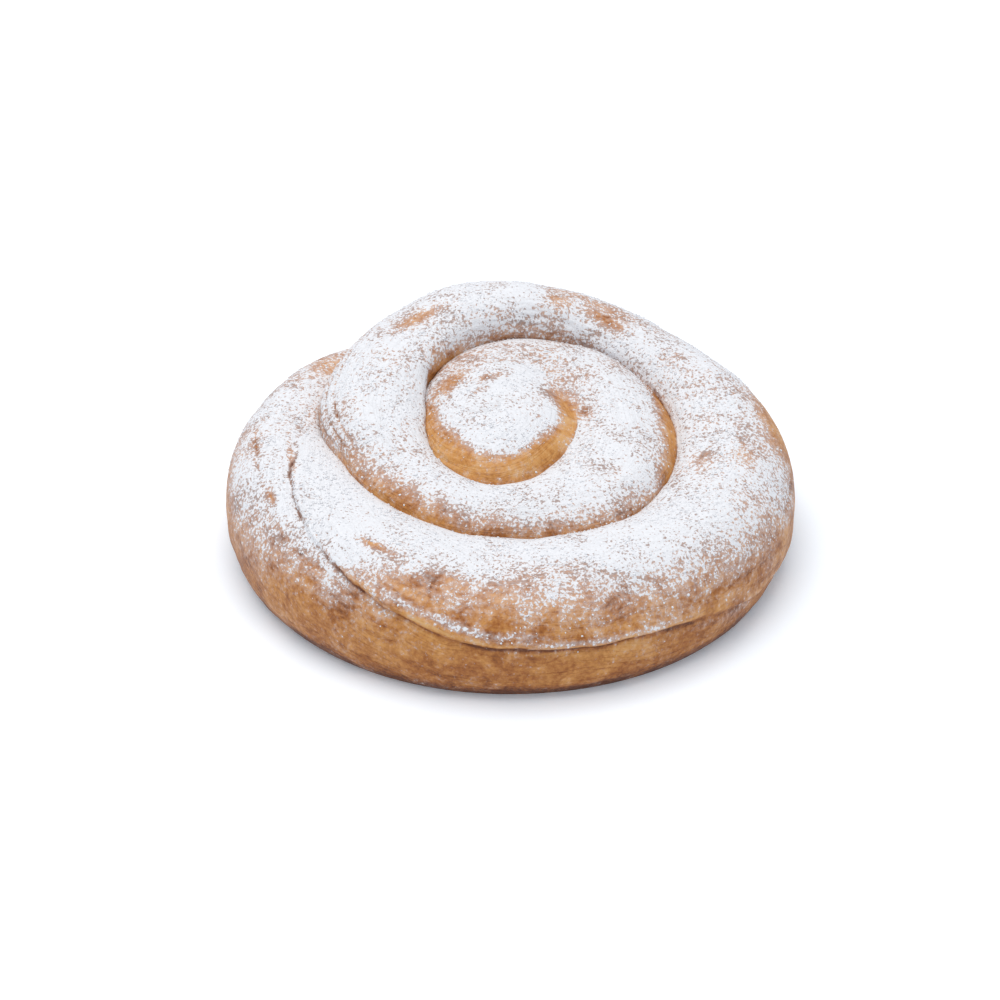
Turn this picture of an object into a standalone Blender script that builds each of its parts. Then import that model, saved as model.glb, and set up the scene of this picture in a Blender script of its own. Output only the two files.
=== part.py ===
"""Ensaimada: a rope of laminated dough coiled clockwise into a snail, baked on a flat tray.

The crust is one closed surface. A strip runs along the rope from the knob in the middle to the
tail tucked in at the back. Across the strip the profile climbs out of one groove, over the crest
and down into the next groove, so neighbouring turns share the groove between them. The last turn
runs down to the tray instead, where a flat underside closes the solid.

Turns along the rope are counted from the dimple at the knob's right: 0 right, 0.25 front,
0.5 left, 0.75 back, 1 right again. The share counts across the strip, 0 at its inner edge and 1
at its outer edge. Lengths are in metres, +Z is up and the front faces -Y.
"""

import bmesh
import bpy
import numpy as np

MM = 0.001

ROWS_PER_TURN = 76
COLUMNS = 20

FIRST_TURN = -1.0     # the strip starts as a point, the pole of the knob
FLOOR_TURN = 1.75     # from here on the outer edge is the tray line
TAIL_TURN = 2.75
INNER_SHARE = 0.4     # the crest's place across the strip

KNOB_HEIGHT = 31.0 * MM
DIMPLE_RADIUS = 16.0 * MM
DIMPLE_DEPTH = 2.5 * MM
DIMPLE_WIDTH = 5.0 * MM
GROOVE_BULGE = 0.6 * MM
FLOOR_BULGE = 4.0 * MM
BULGE_TURNS = 0.15    # the bulge changes over this stretch before the tray line and at the tail
SIDE_ROUNDNESS = 0.92
OPENING_TURNS = 0.16  # the groove opens from the smooth dimple to a crisp fold

# Along the rope: turns, radius and height of the outer edge, radius and height of the crest, in mm.
# The outer edge is the groove against the next turn, and from FLOOR_TURN on it is the tray line.
STATIONS = (
    (0.000, 16.0, 26.0, 12.0, 28.5),
    (0.125, 17.0, 22.5, 12.0, 30.5),
    (0.250, 19.5, 20.5, 12.0, 30.5),
    (0.375, 16.5, 21.5, 12.0, 30.5),
    (0.500, 15.0, 24.0, 12.0, 30.5),
    (0.625, 19.0, 27.0, 12.0, 31.0),
    (0.750, 25.5, 28.5, 18.0, 32.0),
    (0.875, 34.0, 23.5, 23.5, 30.5),
    (1.000, 36.5, 19.5, 27.0, 28.0),
    (1.125, 37.0, 18.0, 28.5, 26.0),
    (1.250, 33.5, 18.0, 26.0, 25.5),
    (1.375, 31.5, 19.5, 24.0, 27.0),
    (1.440, 31.5, 20.0, 24.0, 28.8),
    (1.500, 34.6, 20.8, 24.0, 31.0),
    (1.560, 37.0, 21.6, 24.4, 33.0),
    (1.625, 38.6, 22.8, 25.4, 35.0),
    (1.750, 47.6, 0.0, 30.2, 37.6),
    (1.875, 49.2, 0.0, 38.4, 31.6),
    (2.000, 56.0, 0.0, 46.5, 26.5),
    (2.125, 57.0, 0.0, 48.5, 24.0),
    (2.250, 55.5, 0.0, 46.5, 23.5),
    (2.375, 53.0, 0.0, 44.0, 24.5),
    (2.500, 50.5, 0.0, 42.8, 25.0),
    (2.625, 48.2, 0.0, 43.6, 23.6),
    (2.750, 48.0, 0.0, 48.0, 0.0),
)
EDGE_RADIUS, EDGE_HEIGHT, CREST_RADIUS, CREST_HEIGHT = 1, 2, 3, 4

# The free edge of the rolled dough sheet, a lipped seam: turns, share. It comes over the crest at
# the left, runs low along the front and reaches the tray line at the right.
SEAM_PATH = (
    (1.90, 0.95),
    (2.05, 0.88),
    (2.16, 0.77),
    (2.25, 0.74),
    (2.35, 0.57),
    (2.48, 0.33),
    (2.60, 0.18),
)
SEAM_LIP = 0.5 * MM
SEAM_DEPTH = 0.9 * MM
SEAM_LIP_WIDTH = 3.0 * MM
SEAM_HOLLOW_WIDTH = 3.5 * MM
SEAM_HALF_STEP = 0.5 * MM
SEAM_GATHER = 2.0 * MM     # the columns gather within this distance of the seam
SEAM_GATHERED = 0.3        # the share of all columns that do
STRIP_LENGTH = 50.0 * MM   # across the last turn, from the groove over the crest to the tray

LOBE_HEIGHT = 0.5 * MM
LOBES_PER_TURN = (5.0, 8.0)
LOBE_SLANTS = (1.3, -0.8)
CORE_HEIGHT = 0.45    # relief stands out from the rope's core, at this share of the crest's height


def smooth_step(x):
    """0 below 0, 1 above 1, and 3x^2 - 2x^3 between."""
    x = np.clip(x, 0.0, 1.0)
    return x * x * (3.0 - 2.0 * x)


def through(points, x):
    """The value at x of a cubic through the points (place, value). Its slope at a point is the
    harmonic mean of the slopes on both sides, or 0 at a peak, so it never overshoots."""
    at, value = np.array(points).T
    step, rise = np.diff(at), np.diff(value)
    slope = rise / step
    same_way = slope[1:] * slope[:-1] > 0
    safe = np.where(same_way, slope[1:] + slope[:-1], 1.0)
    middle = np.where(same_way, 2.0 * slope[1:] * slope[:-1] / safe, 0.0)
    tangent = np.concatenate([slope[:1], middle, slope[-1:]])
    i = np.clip(np.searchsorted(at, x, side="right") - 1, 0, len(step) - 1)
    u = np.clip((x - at[i]) / step[i], 0.0, 1.0)
    return (
        value[i]
        + rise[i] * u * u * (3.0 - 2.0 * u)
        + step[i] * (tangent[i] * u * (1.0 - u) ** 2 - tangent[i + 1] * u * u * (1.0 - u))
    )


def along_rope(turns, column):
    """A column of STATIONS at any turn, in metres."""
    return through([(row[0], row[column] * MM) for row in STATIONS], turns)


def openness(turns):
    """How far the groove has opened: 0 in the dimple, 1 from OPENING_TURNS on."""
    return smooth_step(turns / OPENING_TURNS)


def bulge(turns):
    """How far a side stands out past the edge that it ends on. The tail's end doesn't."""
    to_floor = smooth_step((turns - FLOOR_TURN) / BULGE_TURNS + 1.0)
    to_tail = smooth_step((TAIL_TURN - turns) / BULGE_TURNS)
    to_groove = GROOVE_BULGE * openness(turns)
    return (to_groove + (FLOOR_BULGE - GROOVE_BULGE) * to_floor) * to_tail


def side(way, half_width, stand_out):
    """(way in, way up), both 0 to 1, from an edge (way 0) to the crest (way 1): an oval arc that
    starts below its widest point, where it stands out past the edge."""
    start = np.arccos(half_width / (half_width + stand_out))
    turn = -start + way * (np.pi / 2 + start)
    across = np.sign(np.cos(turn)) * np.abs(np.cos(turn)) ** SIDE_ROUNDNESS
    up = np.sign(np.sin(turn)) * np.abs(np.sin(turn)) ** SIDE_ROUNDNESS
    across_edge = np.cos(start) ** SIDE_ROUNDNESS
    up_edge = -(np.sin(start) ** SIDE_ROUNDNESS)
    return 1.0 - across / across_edge, (up - up_edge) / (1.0 - up_edge)


def lid(turns, radius):
    """The knob's height at a radius: a dome over the first turn that falls to the groove as a
    rounded plateau, less the dimple's round hollow where the turn comes back to it."""
    flatness = 2.6 + 3.4 * smooth_step((turns - 0.5) / 0.4)
    edge_radius, edge_height = along_rope(turns, EDGE_RADIUS), along_rope(turns, EDGE_HEIGHT)
    crest_radius, crest_height = along_rope(turns, CREST_RADIUS), along_rope(turns, CREST_HEIGHT)
    top = KNOB_HEIGHT + (crest_height - KNOB_HEIGHT) * smooth_step(radius / crest_radius)
    depth = DIMPLE_DEPTH * smooth_step((turns - 0.75) / 0.25)
    top = top - depth * np.exp(-(((radius - DIMPLE_RADIUS) / DIMPLE_WIDTH) ** 2))
    out = np.clip(radius / edge_radius, 0.0, 1.0)
    return edge_height + (top - edge_height) * np.sqrt(np.maximum(1.0 - out**flatness, 0.0))


def lid_past_dimple(turns, radius):
    """The lid as it goes on through the dimple into the second turn."""
    return lid(np.clip(turns + 1.0, 1.0, 1.0 + OPENING_TURNS), radius)


def groove_height(turns):
    """The outer edge's height, which leaves the lid's own surface in the dimple."""
    soft = lid_past_dimple(turns, along_rope(turns, EDGE_RADIUS))
    return soft + (along_rope(turns, EDGE_HEIGHT) - soft) * openness(turns)


def knob_section(turns, share, start):
    """(radius, height) on the first turn. The strip's inner edge leaves the pole and reaches the
    dimple after one turn, and its spacing becomes the rope's own by then."""
    inner_edge = DIMPLE_RADIUS * smooth_step(turns)
    edge_radius, crest_radius = along_rope(turns, EDGE_RADIUS), along_rope(turns, CREST_RADIUS)
    inward = share < INNER_SHARE
    way = np.where(inward, share / INNER_SHARE, (1.0 - share) / (1.0 - INNER_SHARE))
    from_edge = np.where(inward, inner_edge, edge_radius)
    like_rope = from_edge + (crest_radius - from_edge) * side(way, 1.0, 0.0)[0]
    like_dome = inner_edge + (edge_radius - inner_edge) * np.sin(share * np.pi / 2)
    to_rope = smooth_step((turns - 0.7) / 0.3)
    radius = np.where(start, inner_edge * share, like_dome + (like_rope - like_dome) * to_rope)
    soft = lid_past_dimple(turns, radius)
    return radius, soft + (lid(turns, radius) - soft) * openness(turns)


def rope_section(turns, share):
    """(radius, height) on the later turns, from the inner groove over the crest to the outer
    edge. The inner groove is the outer edge of the turn before."""
    inward = share < INNER_SHARE
    way = np.where(inward, share / INNER_SHARE, (1.0 - share) / (1.0 - INNER_SHARE))
    edge_turns = np.where(inward, turns - 1.0, turns)
    edge_radius, edge_height = along_rope(edge_turns, EDGE_RADIUS), groove_height(edge_turns)
    crest_radius, crest_height = along_rope(turns, CREST_RADIUS), along_rope(turns, CREST_HEIGHT)
    half_width = np.maximum(np.abs(crest_radius - edge_radius), 1e-6)
    stand_out = bulge(edge_turns) * openness(turns - 1.0)
    way_in, way_up = side(np.clip(way, 0.0, 1.0), half_width, stand_out)
    radius = edge_radius + (crest_radius - edge_radius) * way_in
    height = edge_height + (crest_height - edge_height) * way_up
    soft = lid(np.minimum(turns, 1.0 + OPENING_TURNS), radius)
    return radius, np.where(
        turns < 1.0 + OPENING_TURNS, soft + (height - soft) * openness(turns - 1.0), height
    )


def seam_strength(turns):
    """1 along the visible run of the seam, fading out where it nears the tray and the groove."""
    return smooth_step((turns - 1.95) / 0.1) * smooth_step((2.55 - turns) / 0.1)


def seam_step(distance):
    """The seam's profile against the distance past it: a lip above, then a sharp step down into a
    hollow that runs out below."""
    lip = SEAM_LIP * np.exp(-((distance / SEAM_LIP_WIDTH) ** 2))
    hollow = -SEAM_DEPTH * np.exp(-np.maximum(distance, 0.0) / SEAM_HOLLOW_WIDTH)
    return lip + (hollow - lip) * smooth_step(0.5 + distance / (2.0 * SEAM_HALF_STEP))


def lobes(turns, share):
    """Broad, shallow swellings along the rope: two slanted waves, fading at the grooves."""
    waves = sum(
        np.sin(2 * np.pi * (count * turns + slant * share))
        for count, slant in zip(LOBES_PER_TURN, LOBE_SLANTS)
    )
    return LOBE_HEIGHT * waves / 2 * np.sin(np.pi * share) ** 2 * smooth_step(turns - 0.5)


def column_shares(turns):
    """The share of each column in each row: even, but on the seam's run the columns gather round
    it. Each is where (1 - gathered) * share + gathered * (a soft step at the seam) is even."""
    even = np.linspace(0.0, 1.0, COLUMNS + 1)
    fine = np.linspace(0.0, 1.0, 40 * COLUMNS + 1)
    rows = []
    for seam, strength in zip(through(SEAM_PATH, turns), seam_strength(turns)):
        step = np.tanh((fine - seam) * STRIP_LENGTH / SEAM_GATHER)
        step = (step - step[0]) / (step[-1] - step[0])
        gathered = SEAM_GATHERED * strength
        rows.append(np.interp(even, (1.0 - gathered) * fine + gathered * step, fine))
    return np.array(rows)


def strip_points():
    """The strip's grid of points. Rows run along the rope and columns across it. The row at
    FIRST_TURN is the pole, and the strip widens from there over the knob."""
    rows = round((TAIL_TURN - FIRST_TURN) * ROWS_PER_TURN) + 1
    row_turns = FIRST_TURN + np.arange(rows) / ROWS_PER_TURN
    share = column_shares(row_turns)
    turns = row_turns[:, None] * np.ones(COLUMNS + 1)
    start = turns < 0.0
    knob = knob_section(np.clip(np.where(start, turns + 1.0, turns), 0.0, 1.0), share, start)
    rope = rope_section(np.maximum(turns, 1.0), share)
    first = turns < 1.0
    radius, height = np.where(first, knob[0], rope[0]), np.where(first, knob[1], rope[1])
    distance = (share - through(SEAM_PATH, turns)) * STRIP_LENGTH
    inside = smooth_step(share / 0.08) * smooth_step((1.0 - share) / 0.08)
    relief = seam_step(distance) * seam_strength(turns) * inside + lobes(turns, share)
    out = radius - along_rope(np.maximum(turns, 0.0), CREST_RADIUS)
    up = height - CORE_HEIGHT * along_rope(np.maximum(turns, 0.0), CREST_HEIGHT)
    length = np.maximum(np.hypot(out, up), MM)
    radius, height = radius + relief * out / length, height + relief * up / length
    azimuth = -2 * np.pi * turns
    return np.stack([radius * np.cos(azimuth), radius * np.sin(azimuth), height], axis=-1)


def strip_numbers(rows):
    """Vertex numbers on the grid, where column 0 is the last column of the row one turn before."""
    number = np.arange(rows * (COLUMNS + 1)).reshape(rows, COLUMNS + 1)
    number[0, :] = number[0, 0]
    for row in range(1, rows):
        one_turn_before = max(row - ROWS_PER_TURN, 0)
        number[row, 0] = number[one_turn_before, COLUMNS]
    number[-1, :] = number[-1, 0]
    return number


def closed_mesh(name):
    """The strip and the flat underside as one closed mesh, centred on its box in plan."""
    points = strip_points()
    number = strip_numbers(len(points))
    quads = np.stack([number[:-1, :-1], number[:-1, 1:], number[1:, 1:], number[1:, :-1]], axis=-1)
    faces = []
    for quad in quads.reshape(-1, 4).tolist():
        corners = list(dict.fromkeys(quad))
        if len(corners) > 2:
            faces.append(corners)
    faces.append(number[-1 - ROWS_PER_TURN : -1, COLUMNS].tolist())
    points = points.reshape(-1, 3)
    points[:, :2] -= (points[:, :2].min(0) + points[:, :2].max(0)) / 2
    mesh = bpy.data.meshes.new(name)
    mesh.from_pydata(points.tolist(), [], faces)
    work = bmesh.new()
    work.from_mesh(mesh)
    bmesh.ops.delete(work, geom=[v for v in work.verts if not v.link_faces], context="VERTS")
    bmesh.ops.recalc_face_normals(work, faces=work.faces)
    work.to_mesh(mesh)
    work.free()
    mesh.update()
    return mesh


def crust_material():
    """Baked dough under sugar: pale golden and matt."""
    material = bpy.data.materials.new("crust")
    material.use_nodes = True
    shader = material.node_tree.nodes["Principled BSDF"]
    shader.inputs["Base Color"].default_value = (0.62, 0.45, 0.31, 1.0)
    shader.inputs["Roughness"].default_value = 0.7
    shader.inputs["Metallic"].default_value = 0.0
    return material


def main():
    for old in list(bpy.data.objects):
        bpy.data.objects.remove(old, do_unlink=True)
    mesh = closed_mesh("coiled_dough")
    mesh.materials.append(crust_material())
    mesh.shade_smooth()
    dough = bpy.data.objects.new("coiled_dough", mesh)
    bpy.context.scene.collection.objects.link(dough)


main()
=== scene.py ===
"""Ensaimada: the looks of a coiled pastry under icing sugar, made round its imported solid.

The crust is one surface of two parameters. Turns count along the rope of dough from the dimple at
the knob's right, clockwise from above: 0 right, 0.25 front, 0.5 left, 0.75 back, 1 right again.
The share counts across the rope, 0 at its inner edge and 1 at its outer edge. Icing sugar is in
the crust's own relief and colour where it lies as a film, and in small clumps on top of it.
Lengths are in metres, +Z is up and the front faces -Y.
"""

import bpy
import numpy as np
from bpy.props import FloatProperty, FloatVectorProperty, IntProperty, PointerProperty
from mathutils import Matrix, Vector


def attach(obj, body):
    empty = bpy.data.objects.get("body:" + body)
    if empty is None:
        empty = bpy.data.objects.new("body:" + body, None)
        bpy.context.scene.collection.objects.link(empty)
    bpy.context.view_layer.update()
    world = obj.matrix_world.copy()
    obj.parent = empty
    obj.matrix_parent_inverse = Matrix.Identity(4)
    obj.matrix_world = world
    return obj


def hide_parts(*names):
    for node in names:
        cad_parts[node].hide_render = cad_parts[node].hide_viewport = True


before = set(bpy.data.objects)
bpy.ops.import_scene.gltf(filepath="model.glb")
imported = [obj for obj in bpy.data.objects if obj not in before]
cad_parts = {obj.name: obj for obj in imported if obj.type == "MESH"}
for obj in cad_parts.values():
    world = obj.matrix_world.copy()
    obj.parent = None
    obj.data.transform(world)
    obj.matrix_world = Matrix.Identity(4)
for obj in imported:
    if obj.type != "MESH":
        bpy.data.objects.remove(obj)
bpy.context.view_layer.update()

bl_info = {
    "name": "Ensaimada",
    "version": (1, 0, 0),
    "blender": (4, 5, 0),
    "location": "View3D > Sidebar > Ensaimada",
    "description": "A coiled pastry with a flaky crust and icing sugar",
    "category": "Object",
}

BODY = "root"
CAD_NODE = "coiled_dough"

MM = 0.001
SENSOR_WIDTH = 36.0   # the camera's, in mm
FLOOR_HALF = 3.0      # half the floor's width
SKY_COLOUR = (0.84, 0.92, 1.0, 1.0)
LAMP_PLACE = (-0.12, 0.0, 0.95)  # above and a little to the left
LAMP_SIZE = 1.0
LAMP_COLOUR = (1.0, 0.97, 0.93)

# The rope of dough, as the solid has it
FIRST_TURN = -1.0     # the strip starts as a point, the pole of the knob
FLOOR_TURN = 1.75     # from here on the outer edge is the tray line
TAIL_TURN = 2.75
INNER_SHARE = 0.4     # the crest's place across the strip
KNOB_HEIGHT = 31.0 * MM
DIMPLE_RADIUS = 16.0 * MM
DIMPLE_DEPTH = 2.5 * MM
DIMPLE_WIDTH = 5.0 * MM
DOME_POWER = 2.6      # the knob's roundness where the rope starts
PLATEAU_POWER = 6.0   # and where its first turn ends
GROOVE_BULGE = 0.6 * MM
FLOOR_BULGE = 4.0 * MM
BULGE_TURNS = 0.15
SIDE_ROUNDNESS = 0.92
OPENING_TURNS = 0.16
STRIP_LENGTH = 50.0 * MM

# Along the rope: turns, radius and height of the outer edge, radius and height of the crest, in mm
STATIONS = (
    (0.0, 16.0, 26.0, 12.0, 28.5),
    (0.125, 17.0, 22.5, 12.0, 30.5),
    (0.25, 19.5, 20.5, 12.0, 30.5),
    (0.375, 16.5, 21.5, 12.0, 30.5),
    (0.5, 15.0, 24.0, 12.0, 30.5),
    (0.625, 19.0, 27.0, 12.0, 31.0),
    (0.75, 25.5, 28.5, 18.0, 32.0),
    (0.875, 34.0, 23.5, 23.5, 30.5),
    (1.0, 36.5, 19.5, 27.0, 28.0),
    (1.125, 37.0, 18.0, 28.5, 26.0),
    (1.25, 33.5, 18.0, 26.0, 25.5),
    (1.375, 31.5, 19.5, 24.0, 27.0),
    (1.44, 31.5, 20.0, 24.0, 28.8),
    (1.5, 34.6, 20.8, 24.0, 31.0),
    (1.56, 37.0, 21.6, 24.4, 33.0),
    (1.625, 38.6, 22.8, 25.4, 35.0),
    (1.75, 47.6, 0.0, 30.2, 37.6),
    (1.875, 49.2, 0.0, 38.4, 31.6),
    (2.0, 56.0, 0.0, 46.5, 26.5),
    (2.125, 57.0, 0.0, 48.5, 24.0),
    (2.25, 55.5, 0.0, 46.5, 23.5),
    (2.375, 53.0, 0.0, 44.0, 24.5),
    (2.5, 50.5, 0.0, 42.8, 25.0),
    (2.625, 48.2, 0.0, 43.6, 23.6),
    (2.75, 48.0, 0.0, 48.0, 0.0),
)
EDGE_RADIUS, EDGE_HEIGHT, CREST_RADIUS, CREST_HEIGHT = 1, 2, 3, 4

# The free edge of the rolled dough sheet, a lipped seam: turns, share
SEAM_PATH = (
    (1.9, 0.95),
    (2.05, 0.88),
    (2.16, 0.77),
    (2.25, 0.74),
    (2.35, 0.57),
    (2.48, 0.33),
    (2.6, 0.18),
)
SEAM_LIP_WIDTH = 3.0 * MM
SEAM_HOLLOW_WIDTH = 3.5 * MM
SEAM_HALF_STEP = 0.45 * MM
FRONT_OPENING = 2.26  # the turns where the seam stands open at the front
SEAM_GATHERED = 0.55  # how much closer the columns stand at the seam
SEAM_GATHER = 0.12    # within this share of it
EDGE_MARGIN = 0.15    # share within which they keep their places at the strip's edges
SEAM_START, SEAM_END = 1.95, 2.55
SEAM_FADE = 0.1       # turns over which the seam fades in and out
SEAM_DEEP_TURN = 2.08  # where it starts to be deeper
SHALLOW_SEAM = 0.6    # its depth before that, as a share
SEAM_WANDER = 0.6 * MM
LOBES_PER_TURN = (5.0, 8.0)
LOBE_SLANTS = (1.3, -0.8)
CORE_HEIGHT = 0.45

# Narrow folds between layers of dough: turns from and to, share at both
CREASES = (
    (1.42, 1.62, 0.64, 0.66),
    (1.43, 1.66, 0.72, 0.73),
    (1.45, 1.66, 0.8, 0.82),
    (1.46, 1.62, 0.88, 0.9),
    (2.3, 2.44, 0.68, 0.54),
    (2.29, 2.42, 0.73, 0.62),
    (2.27, 2.39, 0.79, 0.71),
    (2.42, 2.53, 0.54, 0.49),
    (2.2, 2.31, 0.88, 0.84),
    (2.03, 2.16, 0.78, 0.7),
    (1.97, 2.08, 0.72, 0.68),
)
CREASE_ENDS = 0.04    # turns over which a crease fades in and out
CREASE_WIDTH = 0.009  # share
CREASE_WANDER = 0.014  # share

# Wrinkles on the front shoulder: their middle, and how far they spread, in turns and in share
RIPPLED_TURN, RIPPLED_SHARE = 2.25, 0.57
RIPPLED_LENGTH, RIPPLED_WIDTH = 0.15, 0.17

# The small pit at the end of the dimple, in plan
PIT_PLACE = (14.9 * MM, 7.1 * MM)
PIT_WIDTH = 1.1 * MM

# Icing sugar along the rope: turns, the shares between which it lies, how softly it thins out past
# them, and how full it is between them
SUGAR_STATIONS = (
    (0.0, -0.5, 1.4, 0.3, 0.9),
    (0.25, -0.5, 1.4, 0.3, 1.0),
    (0.5, -0.5, 1.4, 0.3, 0.84),
    (0.625, -0.5, 1.25, 0.3, 0.66),
    (0.75, -0.5, 1.25, 0.3, 0.72),
    (0.875, -0.5, 0.95, 0.2, 0.74),
    (1.0, -0.5, 0.64, 0.12, 0.84),
    (1.125, -0.5, 0.76, 0.22, 0.84),
    (1.25, -0.5, 0.72, 0.26, 0.8),
    (1.375, -0.5, 0.62, 0.34, 0.82),
    (1.5, -0.5, 0.98, 0.45, 0.82),
    (1.58, -0.3, 1.0, 0.45, 0.8),
    (1.61, 0.13, 1.0, 0.06, 0.8),
    (1.69, 0.06, 1.0, 0.12, 0.82),
    (1.75, -0.32, 1.0, 0.22, 0.88),
    (1.875, -0.5, 1.0, 0.3, 0.8),
    (2.0, -0.5, 0.76, 0.32, 0.76),
    (2.125, -0.5, 0.69, 0.3, 0.84),
    (2.25, -0.5, 0.54, 0.26, 0.86),
    (2.375, -0.4, 0.66, 0.24, 0.98),
    (2.5, -0.5, 0.7, 0.32, 0.84),
    (2.58, -0.3, 0.7, 0.34, 0.66),
    (2.625, -0.1, 0.75, 0.34, 0.6),
    (2.75, 0.0, 0.6, 0.2, 0.6),
)

# The bare crescent on the knob's front: turns from the right, the middle and half the width of it
# as radii in mm, and the share of the sugar gone
CRESCENT = (
    (-0.12, 14.0, 2.0, 0.0),
    (-0.05, 14.2, 2.0, 0.6),
    (0.0, 14.4, 2.2, 0.9),
    (0.125, 15.0, 2.7, 0.97),
    (0.25, 17.4, 3.2, 1.0),
    (0.375, 15.0, 3.9, 0.92),
    (0.5, 14.2, 2.4, 0.78),
    (0.57, 14.0, 1.4, 0.0),
)

# Places rubbed bare, in plan: x, y, length along the rope, width, in mm, and the share gone
BARE_PLACES = (
    (-12.0, 11.8, 4.5, 2.6, 0.75),
    (-5.0, 12.0, 4.0, 1.6, 0.5),
    (-6.0, 8.0, 3.0, 1.2, 0.4),
    (10.5, 8.5, 6.0, 4.0, 0.58),
    (-18.5, 29.0, 7.0, 3.0, 0.6),
    (-15.0, 19.0, 3.0, 2.5, 0.45),
    (-2.0, 30.4, 4.0, 1.4, 0.35),
    (7.0, 32.5, 3.0, 1.2, 0.25),
    (10.0, 36.0, 3.0, 2.0, 0.45),
    (20.0, 33.0, 5.0, 2.0, 0.6),
    (17.0, 39.0, 10.0, 2.0, 0.45),
    (-20.0, -46.5, 4.0, 2.2, 0.6),
    (-11.5, -46.5, 4.0, 2.5, 0.65),
    (-2.0, -49.0, 3.0, 2.5, 0.5),
    (-26.0, -37.0, 4.5, 1.1, 0.9),
    (-46.5, -18.5, 3.5, 0.8, 0.75),
    (-43.5, -5.0, 6.0, 0.7, 0.6),
    (-34.0, 29.0, 5.0, 3.5, 0.6),
    (38.0, -8.0, 4.0, 2.5, 0.45),
    (46.0, -6.0, 5.0, 3.0, 0.4),
    (53.5, 8.0, 10.0, 4.2, 0.9),
)

# How much of the sugar each form takes away, and how far noise and wrinkles change it
CRACK_BARED, CREASES_BARED, PIT_BARED = 0.7, 0.5, 0.8
SUGAR_ON_RIPPLES = 0.25
UNEVEN_SUGAR = 0.14
SUGAR_ON_STEEP = 0.45  # the share of it that stays on steep flanks

# How brown the crust is everywhere, and what each form adds: browning near the tray and in patches,
# painted shade at the grooves, crack, folds, pit and wrinkles' troughs, and painted highlight on
# the lip and wrinkles' crests
BAKED = 0.38
BROWNING_AND_PAINTED_LIGHT_WEIGHTS = {
    # Painted shade: outer edge in the grooves (partly browning), crack, creases, pit, ripples'
    # troughs. Painted highlight: lip and ripples' crests
    "low": 0.26, "outer_edge_browning_and_shade": 0.65, "crack": 0.85, "lip": -0.35, "creases": 0.15,
    "crescent": -0.08, "ripples": -0.25, "pit": 0.5, "patches": 0.25,
}
BAKED_LOW_HEIGHT = 17 * MM

# Lines of sugar along the seam: turns, past the seam in mm, length in turns, amount
SUGARED_LIPS = (
    (2.29, -2.4, 0.06, 0.75),
    (2.19, -0.9, 0.06, 0.6),
    (2.08, -0.5, 0.05, 0.55),
    (2.12, 1.6, 0.03, 0.55),
)


def linear(*display):
    """A display colour, 0 to 255 in each channel, as the linear values that sockets take."""
    x = np.array(display) / 255.0
    return tuple(float(v) for v in np.where(x <= 0.04045, x / 12.92, ((x + 0.055) / 1.055) ** 2.4))


# Helpers for curves and noise

def smooth_step(x):
    """0 below 0, 1 above 1, and 3x^2 - 2x^3 between."""
    x = np.clip(x, 0.0, 1.0)
    return x * x * (3.0 - 2.0 * x)


def bell(distance, width):
    """1 at no distance, falling as exp(-(distance / width)^2)."""
    return np.exp(-((distance / width) ** 2))


def through(points, x):
    """The value at x of a cubic through the points (place, value). Its slope at a point is the
    harmonic mean of the slopes on both sides, or 0 at a peak, so it never overshoots."""
    at, value = np.array(points).T
    step, rise = np.diff(at), np.diff(value)
    slope = rise / step
    same_way = slope[1:] * slope[:-1] > 0
    safe = np.where(same_way, slope[1:] + slope[:-1], 1.0)
    middle = np.where(same_way, 2.0 * slope[1:] * slope[:-1] / safe, 0.0)
    tangent = np.concatenate([slope[:1], middle, slope[-1:]])
    i = np.clip(np.searchsorted(at, x, side="right") - 1, 0, len(step) - 1)
    u = np.clip((x - at[i]) / step[i], 0.0, 1.0)
    return (
        value[i]
        + rise[i] * u * u * (3.0 - 2.0 * u)
        + step[i] * (tangent[i] * u * (1.0 - u) ** 2 - tangent[i + 1] * u * u * (1.0 - u))
    )


def lumps(points, cell, seed):
    """Smooth noise from -1 to 1: random values on a cubic lattice with this cell, blended between
    its eight corners by smooth steps. The lattice repeats after 64 cells."""
    table = np.random.default_rng(seed).uniform(-1.0, 1.0, (64, 64, 64))
    at = points / cell
    low = np.floor(at).astype(int)
    part = smooth_step(at - low)
    value = np.zeros(at.shape[:-1])
    for corner in np.ndindex(2, 2, 2):
        i = (low + corner) % 64
        weight = np.prod(np.where(corner, part, 1.0 - part), axis=-1)
        value += weight * table[i[..., 0], i[..., 1], i[..., 2]]
    return value


def rough_lumps(points, cell, seed):
    """Three layers of lumps, each half the cell and half the height of the one before."""
    return sum(lumps(points, cell / 2**k, seed + k) / 2**k for k in range(3)) / 1.75


def from_table(table, x):
    """Each later column of the table at x, as a cubic through its rows, placed by the first."""
    at, *columns = zip(*table)
    return [through(list(zip(at, column)), x) for column in columns]


# The rope's form

def along_rope(turns, column):
    """A column of STATIONS at any turn, in metres."""
    return through([(row[0], row[column]) for row in STATIONS], turns) * MM


def openness(turns):
    """How far the groove has opened: 0 in the dimple, 1 from OPENING_TURNS on."""
    return smooth_step(turns / OPENING_TURNS)


def bulge(turns):
    """How far a side stands out past the edge that it ends on. The tail's end doesn't."""
    to_floor = smooth_step((turns - FLOOR_TURN) / BULGE_TURNS + 1.0)
    to_tail = smooth_step((TAIL_TURN - turns) / BULGE_TURNS)
    to_groove = GROOVE_BULGE * openness(turns)
    return (to_groove + (FLOOR_BULGE - GROOVE_BULGE) * to_floor) * to_tail


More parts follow.
